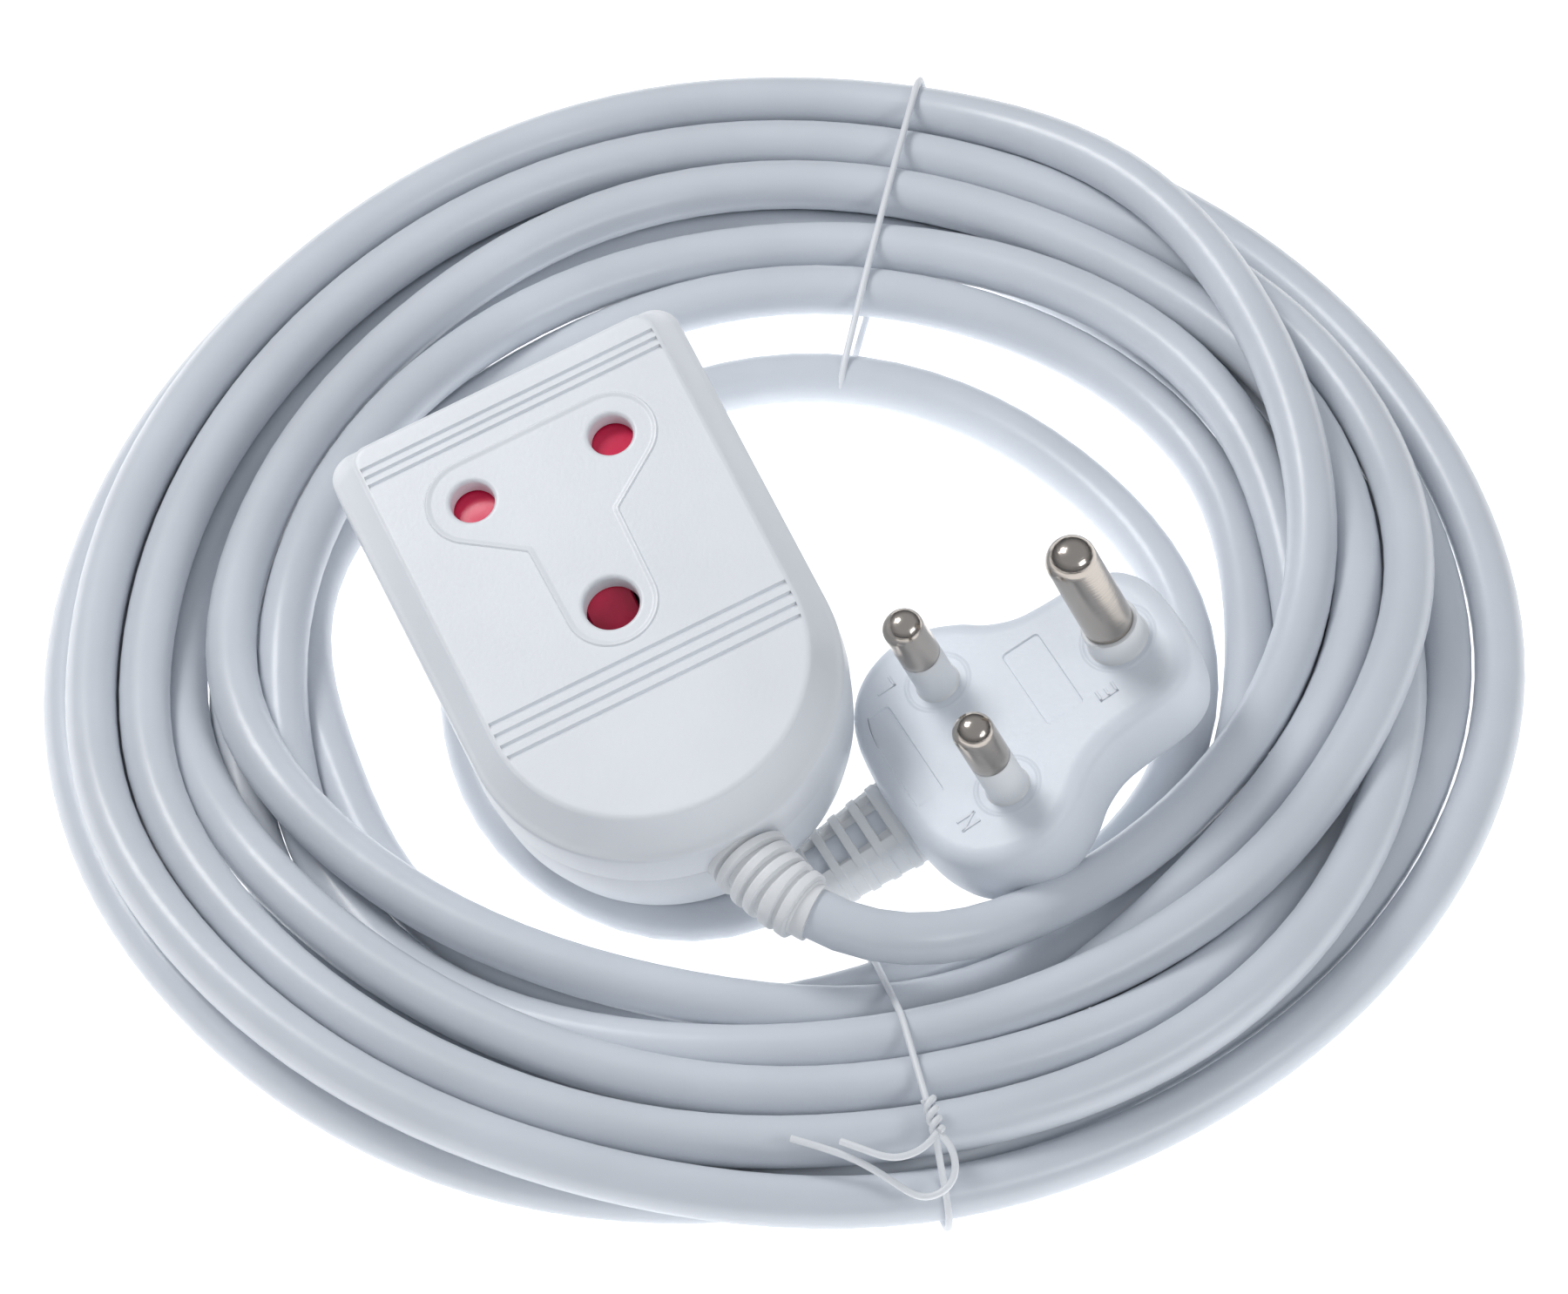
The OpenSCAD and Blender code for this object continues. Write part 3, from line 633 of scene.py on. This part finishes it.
# Empty recessed frames on the face: centre, half width and half height
PANELS = [(-1.5, 14.6, 8.6, 3.6), (-4.0, -11.6, 10.5, 2.7)]
PANEL_DEPTH = 0.32
ROOT_RING = 1.9  # the faint raised ring round each pin, out from its radius
# Section of the body: how far each level is drawn in, and its height
PLUG_SIDE = [
    (3.2, 0.0), (2.3, -0.12), (1.4, -0.5), (0.65, -1.2), (0.2, -2.2), (0.0, -3.4), (-0.25, -6.5),
    (-0.25, -9.0), (0.05, -11.5), (0.6, -13.3), (1.6, -14.8), (3.0, -15.7), (4.6, -16.0)
]


def panel_frame(panel, grow):
    x, y, w, h = panel
    return rounded_box(x, y, w + grow, h + grow, 0.8, 4)


def plug_height(xy):
    """Height of the plug's face: recessed frames, and a faint ring round each pin."""
    z = np.zeros(len(xy))
    for panel in PANELS:
        edge = panel_frame(panel, 0)
        sunk = -PANEL_DEPTH * np.clip(distance_to(xy, edge) / 0.18, 0, 1)
        z = np.where(inside(xy, edge), sunk, z)
    for _, x, y, r, _ in PLUG_PINS:
        d = np.hypot(xy[:, 0] - x, xy[:, 1] - y) - (r + ROOT_RING)
        z += 0.12 * np.clip((0.35 - np.abs(d)) / 0.2, 0, 1)
    return z


def build_plug():
    """Moulded three-lobed body."""
    s = Shape()
    holes = [circle(x, y, r - 0.35, 48) for _, x, y, r, _ in PLUG_PINS]
    lines = [(panel_frame(panel, g), True) for panel in PANELS for g in (0.3, 0, -0.18, -0.5)]
    for _, x, y, r, _ in PLUG_PINS:
        lines += [(circle(x, y, r + ROOT_RING + g, 48), True) for g in (-0.6, -0.35, -0.15, 0.15, 0.35, 0.6)]
    lines.append((plug_loop(3.6), True))
    s.plate(plug_loop(PLUG_SIDE[0][0]), holes, plug_height, lines)
    s.rings([raised(plug_loop(g), z) for g, z in PLUG_SIDE], cap_end=True)
    for hole in holes:
        s.rings([raised(hole, z) for z in (0.0, -2.2)])
    return s.piece("plug_moulding", in_plug, smooth=40)


def lathe(name, x, y, profile, n=64):
    """Turned piece on the plug's face, from radius and height pairs."""
    s = Shape()
    s.rings([raised(circle(x, y, max(r, 0.001), n), z) for r, z in profile], True, True)
    return s.piece(name, in_plug, smooth=42)


def build_pin(name, x, y, r, length, sleeve):
    """Domed pin above its sleeve, with a rolled edge where the two meet."""
    dome = 0.9 * r
    angles = [k * math.pi / 24 for k in range(12)]
    foot = [(r - 0.5, sleeve - 0.6), (r - 0.12, sleeve + 0.02), (r, sleeve + 0.18), (r, sleeve + 1.5)]
    tip = [(r * math.cos(a), length - dome + dome * math.sin(a)) for a in angles]
    return lathe(name, x, y, foot + tip + [(0.02, length)])


def build_sleeve(name, x, y, r, height):
    """Insulating sleeve, flared into the face at its foot."""
    foot = [(r + 0.55, -0.12), (r + 0.2, 0.1), (r + 0.04, 0.45), (r, 1.0)]
    lip = [(r, height - 0.35), (r - 0.1, height - 0.08), (r - 0.35, height), (r - 0.7, height - 0.02)]
    return lathe(name, x, y, foot + lip)


def stroke(s, x0, y0, x1, y1, w=0.28, h=0.22):
    """One raised stroke on the plug's face."""
    d = np.array([x1 - x0, y1 - y0])
    d /= np.linalg.norm(d)
    n = np.array([-d[1], d[0]]) * w
    a, b = np.array([x0, y0]) - d * w, np.array([x1, y1]) + d * w
    low = [(*(a - n), -0.05), (*(b - n), -0.05), (*(b + n), -0.05), (*(a + n), -0.05)]
    n2, a2, b2 = n * 0.6, a + d * w * 0.4, b - d * w * 0.4
    high = [(*(a2 - n2), h), (*(b2 - n2), h), (*(b2 + n2), h), (*(a2 + n2), h)]
    s.rings([low, high], True, True)


# Strokes of the plain marks by the pins, and their places; the marks face the cord end
MARKS = {"E": ((0, 0, 0, 3), (0, 0, 1.8, 0), (0, 1.5, 1.5, 1.5), (0, 3, 1.8, 3)),
         "N": ((0, 0, 0, 3), (0, 3, 2, 0), (2, 0, 2, 3)),
         "L": ((0, 0, 0, 3), (0, 0, 1.8, 0))}
MARK_AT = {"E": (8.8, 23.6), "N": (15.4, -7.0), "L": (-17.2, -6.2)}


def build_marks():
    s = Shape()
    for key, (x, y) in MARK_AT.items():
        for x0, y0, x1, y1 in MARKS[key]:
            stroke(s, x - x0, y - y0, x - x1, y - y1)
    return s.piece("plug_pin_marks", in_plug)


RELIEF_FROM, RELIEF_TO = -14, -36.4
RUNG_PITCH, FIRST_RUNG = 3.9, -19.25
WINDOW_SINK = 0.70  # how much of the relief's height is left at a window
WINDOWS = [-21.2 - i * RUNG_PITCH for i in range(4)]
RUNGS = [FIRST_RUNG - i * RUNG_PITCH for i in range(5)]
CORNER = 0.42  # exponent of the section: a box with rounded corners


def relief_ring(y, n=56):
    """One section of the ladder relief, sunk at the top and bottom where it has a window."""
    t = np.clip((-y - 16) / 20, 0, 1)
    w, h = 7.3 - 2.1 * t, 5.35 - 0.55 * t
    for rung in RUNGS:
        if abs(y - rung) < 0.75:
            w += 0.28
            h += 0.18
    if y < -35.9:
        w, h = w - 0.5, h - 0.4
    window = any(abs(y - middle) < 1.12 for middle in WINDOWS)
    ring = []
    for k in range(n):
        a = 2 * math.pi * k / n
        x = w * math.copysign(abs(math.cos(a)) ** CORNER, math.cos(a))
        z = h * math.copysign(abs(math.sin(a)) ** CORNER, math.sin(a))
        if window and abs(x) < w - 2.1:
            z *= WINDOW_SINK
        ring.append((x, y, RELIEF_Z + z))
    return ring


def build_relief():
    """Tapered ladder: two rails and cross bars, with windows between the bars."""
    s = Shape()
    edges = [middle + d for middle in WINDOWS for d in (-1.25, -1.0, 1.0, 1.25)]
    levels = np.concatenate([np.linspace(RELIEF_FROM, RELIEF_TO, 60), edges])
    s.rings([relief_ring(y) for y in sorted(set(np.round(levels, 3)))[::-1]], True, True)
    return s.piece("plug_ladder_relief", in_plug, smooth=30)


# ---- ties ----
TIE_ANGLE = 77
TIE_R = 0.6
TIE_CLEAR = CORD_R + TIE_R + 0.15
LEAD_PASS = 9  # index of the pass that goes on to the plug
KNOT_R, KNOT_Z = 118, 20.4
TWIST_R, TWIST_ANGLE = 0.75, 11  # the knot's twist, in mm and radians
UP = np.array([0, 0, 1.0])


def lower_half(points):
    """Lower side of the outline that encloses sorted points."""
    out = []
    for p in points:
        while len(out) > 1:
            (ax, ay), (bx, by) = out[-2], out[-1]
            if (bx - ax) * (p[1] - ay) - (by - ay) * (p[0] - ax) > 0:
                break
            out.pop()
        out.append(p)
    return out[:-1]


def tie_path(angle, with_lead=False):
    """Loop of wire pulled tight round the strands that cross one angle."""
    k0 = int(round(((angle - FIRST_ANGLE) % 360) / 360 * STEPS))
    rz = [coil_rz[k] for k in range(k0, len(coil_rz) - 12, STEPS)]
    if with_lead:
        rz.append(coil_rz[k0 + STEPS * LEAD_PASS])
    around = [j * math.pi / 12 for j in range(24)]
    cloud = [(r + TIE_CLEAR * math.cos(a), z + TIE_CLEAR * math.sin(a)) for r, z in rz for a in around]
    cloud = sorted(set((round(x, 3), max(round(y, 3), 0.7)) for x, y in cloud))
    loop = lower_half(cloud) + lower_half(cloud[::-1])
    a = math.radians(angle)
    ring = np.array([COIL_AT + [r * math.cos(a), r * math.sin(a), z] for r, z in loop])
    return resample(np.concatenate([ring, ring[:1]]), 2.0)


def wire_shape(s, points, closed=False):
    """Round wire along any line, without twist."""
    p = np.asarray(points, float)
    t = np.gradient(p, axis=0)
    if closed:
        t[0] = t[-1] = p[1] - p[-2]
    t /= np.linalg.norm(t, axis=1)[:, None]
    side = [np.cross(t[0], [0.3, 0.2, 1.0])]
    for i in range(len(p)):
        turned = side[-1] - t[i] * side[-1].dot(t[i])
        side.append(turned / np.linalg.norm(turned))
    side = np.array(side[1:])
    s.rings(round_rings(p, side, np.cross(side, t), np.full(len(p), TIE_R), 10), True, True)


# Loose ends of the near tie, from its knot: outwards, along the coil and up
TAILS = [
    [(0, 0, 0), (3.5, 1.5, -1.0), (7.5, 0.5, -3.5), (8.5, -4, -5), (5.5, -8, -4.5), (1, -13, -3),
     (-2, -18, -1.8), (-5, -23, -1.5)],
    [(0, 0, 0), (3, -3.5, 0.5), (3.5, -8, 0.3), (1, -12, 0), (-2, -15.5, -0.5)]
]


def build_ties():
    """The far tie, and the near one with its twisted knot and two tails."""
    far = Shape()
    wire_shape(far, tie_path(TIE_ANGLE, with_lead=True), closed=True)
    near = Shape()
    wire_shape(near, tie_path(-TIE_ANGLE), closed=True)
    a = math.radians(-TIE_ANGLE)
    out, along = np.array([math.cos(a), math.sin(a), 0]), np.array([-math.sin(a), math.cos(a), 0])
    knot = COIL_AT + out * KNOT_R + [0, 0, KNOT_Z]
    for phase in (0, math.pi):
        twist = []
        for u in np.linspace(0, 1, 30):
            spin = phase + u * TWIST_ANGLE
            round_knot = TWIST_R * (math.cos(spin) * along + math.sin(spin) * UP)
            twist.append(knot + out * (u * 7 - 6) + round_knot)
        wire_shape(near, twist)
    for tail in TAILS:
        line = [knot + out * (o + 0.5) + along * side + UP * z for o, side, z in tail]
        wire_shape(near, smooth_line(line, 6))
    return far.piece("tie_wire_far", as_is, smooth=60), near.piece("tie_wire_near", as_is, smooth=60)


# ---- materials ----
def material(name, colour, roughness, metallic=0.0, bump=0.15, scale=900.0, vary=0.04, coat=0.0,
             soft=0.0, streak=None):
    """Moulded or metal finish: fine grain, faint colour drift and uneven gloss."""
    mat = bpy.data.materials.new(name)
    mat.use_nodes = True
    nodes, links = mat.node_tree.nodes, mat.node_tree.links
    shader = nodes["Principled BSDF"]
    shader.inputs["Metallic"].default_value = metallic
    shader.inputs["Coat Weight"].default_value = coat
    shader.inputs["Coat Roughness"].default_value = 0.15
    if soft:
        shader.inputs["Subsurface Weight"].default_value = soft
        shader.inputs["Subsurface Radius"].default_value = (0.9, 0.95, 1.0)
        shader.inputs["Subsurface Scale"].default_value = 0.002
    where = nodes.new("ShaderNodeTexCoord")
    wide = nodes.new("ShaderNodeTexNoise")
    wide.inputs["Scale"].default_value = 38.0
    wide.inputs["Detail"].default_value = 3.0
    grain = nodes.new("ShaderNodeTexNoise")
    grain.inputs["Scale"].default_value = scale
    grain.inputs["Detail"].default_value = 4.0
    links.new(where.outputs["Object"], wide.inputs["Vector"])
    spot = where.outputs["Object"]
    if streak:
        stretch = nodes.new("ShaderNodeMapping")
        stretch.inputs["Scale"].default_value = streak
        links.new(spot, stretch.inputs["Vector"])
        spot = stretch.outputs["Vector"]
    links.new(spot, grain.inputs["Vector"])
    ramp = nodes.new("ShaderNodeValToRGB")
    dark, light = ramp.color_ramp.elements
    dark.position, light.position = 0.3, 0.72
    dark.color = (*[c * (1 - vary) for c in colour], 1)
    light.color = (*[min(c * (1 + vary * 0.6), 1) for c in colour], 1)
    links.new(wide.outputs["Fac"], ramp.inputs["Fac"])
    links.new(ramp.outputs["Color"], shader.inputs["Base Color"])
    gloss = nodes.new("ShaderNodeMapRange")
    gloss.inputs["To Min"].default_value = max(roughness - 0.07, 0.03)
    gloss.inputs["To Max"].default_value = roughness + 0.09
    links.new(grain.outputs["Fac"], gloss.inputs["Value"])
    links.new(gloss.outputs["Result"], shader.inputs["Roughness"])
    relief = nodes.new("ShaderNodeBump")
    relief.inputs["Strength"].default_value = bump
    relief.inputs["Distance"].default_value = 0.0003
    links.new(grain.outputs["Fac"], relief.inputs["Height"])
    links.new(relief.outputs["Normal"], shader.inputs["Normal"])
    return mat


shell_mat = material("moulded_white", (0.82, 0.845, 0.88), 0.36, bump=0.10, scale=1500, soft=0.12,
                     coat=0.05)
plug_mat = material("plug_white", (0.78, 0.82, 0.875), 0.40, bump=0.12, scale=1300, soft=0.15)
boot_mat = material("boot_white", (0.84, 0.85, 0.86), 0.48, bump=0.14, scale=1100, soft=0.15)
flex_mat = material("flex_pvc", (0.67, 0.705, 0.755), 0.34, bump=0.16, scale=420, vary=0.05, coat=0.12,
                    soft=0.12)
sleeve_mat = material("sleeve_white", (0.83, 0.85, 0.87), 0.34, bump=0.06, scale=1500, soft=0.15)
tie_mat = material("tie_white", (0.82, 0.84, 0.87), 0.38, bump=0.12, scale=1600, soft=0.1)
red_mat = material("shutter_red", (0.78, 0.012, 0.085), 0.36, bump=0.12, scale=700, vary=0.18, coat=0.1,
                   soft=0.05)
grey_mat = material("carrier_grey", (0.52, 0.53, 0.55), 0.5, bump=0.15, scale=900)
nickel_mat = material("pin_nickel", (0.50, 0.455, 0.41), 0.17, metallic=1.0, bump=0.10, scale=260,
                      vary=0.10, streak=(1, 1, 14))
brass_mat = material("contact_brass", (0.62, 0.44, 0.17), 0.3, metallic=1.0, bump=0.12, scale=500,
                     vary=0.12)
steel_mat = material("screw_steel", (0.46, 0.46, 0.47), 0.3, metallic=1.0, bump=0.12, scale=600,
                     vary=0.1)
brown_mat = material("core_brown", (0.16, 0.06, 0.025), 0.4, bump=0.1)
blue_mat = material("core_blue", (0.02, 0.07, 0.36), 0.4, bump=0.1)
green_mat = material("core_green", (0.06, 0.27, 0.05), 0.4, bump=0.1, vary=0.3)

# CAD nodes that keep their own shape
CAD_FINISH = {
    "contact_carrier": grey_mat, "cord_clamp": grey_mat, "plug_bridge": grey_mat,
    "live_contact": brass_mat, "neutral_contact": brass_mat, "earth_contact": brass_mat,
    "terminal_screws": brass_mat, "plug_crimps": brass_mat,
    "cover_screws": steel_mat, "clamp_screws": steel_mat,
    "socket_live_core": brown_mat, "socket_neutral_core": blue_mat, "socket_earth_core": green_mat,
    "plug_live_core": brown_mat, "plug_neutral_core": blue_mat, "plug_earth_core": green_mat,
}
PLUG_INSIDES = ("plug_bridge", "plug_crimps", "plug_live_core", "plug_neutral_core", "plug_earth_core")


def cad_objects(node):
    """Every object of one CAD node."""
    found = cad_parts[node]
    return found if isinstance(found, list) else [found]


def dress(piece, mat, slot, *nodes):
    """Give a piece its finish and hide the CAD nodes that it stands for. The slot argument is not used."""
    piece.data.materials.clear()
    piece.data.materials.append(mat)
    if nodes:
        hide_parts(*nodes)


for node, mat in CAD_FINISH.items():
    for obj in cad_objects(node):
        if not obj.data.materials:
            obj.data.materials.append(mat)
        for i in range(len(obj.data.materials)):
            obj.data.materials[i] = mat

flex = build_flex()
dress(flex, flex_mat, "flex_white", "socket_lead", "plug_lead", "cord_coil")
dress(build_top_cover(), shell_mat, "shell_white", "socket_top_cover")
dress(build_bottom_cover(), shell_mat, "shell_white", "socket_bottom_cover")
boot, boot_end = build_boot()
dress(boot, boot_mat, "boot_white", "socket_boot")
dress(build_shutter(), red_mat, "shutter_red", "shutter")
spring = build_spring()
dress(spring, steel_mat, "spring_steel", "shutter_spring")
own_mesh(spring)

plug = build_plug()
dress(plug, plug_mat, "plug_white", "plug_body")
marks = build_marks()
dress(marks, plug_mat, "plug_white")
relief = build_relief()
dress(relief, boot_mat, "plug_white", "plug_relief")
plug_pieces = [plug, marks, relief]
COLLAR_H, COLLAR_R, SLEEVE_H = 5.0, 5.0, 9.0
for name, x, y, r, length in PLUG_PINS:
    tall, wide_r = (COLLAR_H, COLLAR_R) if name == "earth" else (SLEEVE_H, r)
    pin = build_pin(name + "_pin_turned", x, y, r, length, tall)
    dress(pin, nickel_mat, "pin_nickel", name + "_pin")
    sleeve_node = "earth_pin_collar" if name == "earth" else name + "_pin_sleeve"
    sleeve = build_sleeve(sleeve_node + "_moulded", x, y, wide_r, tall)
    dress(sleeve, sleeve_mat, "sleeve_white", sleeve_node)
    plug_pieces += [pin, sleeve]
for node in PLUG_INSIDES:
    plug_pieces += cad_objects(node)

tie_far, tie_near = build_ties()
dress(tie_far, tie_mat, "tie_white", "tie_top")
dress(tie_near, tie_mat, "tie_white", "tie_bottom")


# ---- floor and light ----
def stage_floor():
    """White floor just under the object, for the pictures only."""
    mesh = bpy.data.meshes.new("floor")
    half, z = 3.0, -0.0006
    corners = [(-half, -half, z), (half, -half, z), (half, half, z), (-half, half, z)]
    mesh.from_pydata(corners, [], [(0, 1, 2, 3)])
    floor = collection_add(bpy.data.objects.new("floor", mesh))
    mat = bpy.data.materials.new("floor_white")
    mat.use_nodes = True
    shader = mat.node_tree.nodes["Principled BSDF"]
    shader.inputs["Base Color"].default_value = (0.9, 0.9, 0.9, 1)
    shader.inputs["Roughness"].default_value = 0.8
    shader.inputs["Emission Color"].default_value = (1, 1, 1, 1)
    shader.inputs["Emission Strength"].default_value = 0.80
    mesh.materials.append(mat)


def area_light(name, at, size, power, colour=(1, 1, 1)):
    """Soft rectangular light, turned to the object."""
    data = bpy.data.lights.new(name, "AREA")
    data.shape, data.size, data.size_y = "RECTANGLE", size[0], size[1]
    data.energy, data.color = power, colour
    light = collection_add(bpy.data.objects.new(name, data))
    light.location = at
    light.rotation_mode = "QUATERNION"
    light.rotation_quaternion = (Vector((0.02, 0, 0)) - Vector(at)).to_track_quat("-Z", "Y")


def studio_sky():
    """Even pale light from above, darker towards the horizon so that the pins have contrast."""
    world = bpy.data.worlds.new("studio")
    bpy.context.scene.world = world
    world.use_nodes = True
    nodes, links = world.node_tree.nodes, world.node_tree.links
    toward = nodes.new("ShaderNodeTexCoord")
    split = nodes.new("ShaderNodeSeparateXYZ")
    fade = nodes.new("ShaderNodeValToRGB")
    horizon, top = fade.color_ramp.elements
    horizon.position, top.position = 0.12, 0.62
    horizon.color = (0.16, 0.17, 0.19, 1)
    top.color = (0.92, 0.95, 1.0, 1)
    links.new(toward.outputs["Generated"], split.inputs["Vector"])
    links.new(split.outputs["Z"], fade.inputs["Fac"])
    links.new(fade.outputs["Color"], nodes["Background"].inputs["Color"])
    nodes["Background"].inputs["Strength"].default_value = 0.52


stage_floor()
studio_sky()
area_light("key", (-0.55, 0.35, 0.9), (0.35, 0.35), 5.0)
area_light("fill", (0.7, -0.5, 0.6), (0.5, 0.25), 1.6, (0.95, 0.98, 1.0))
bpy.context.scene.view_settings.view_transform = "Standard"

bpy.context.view_layer.update()
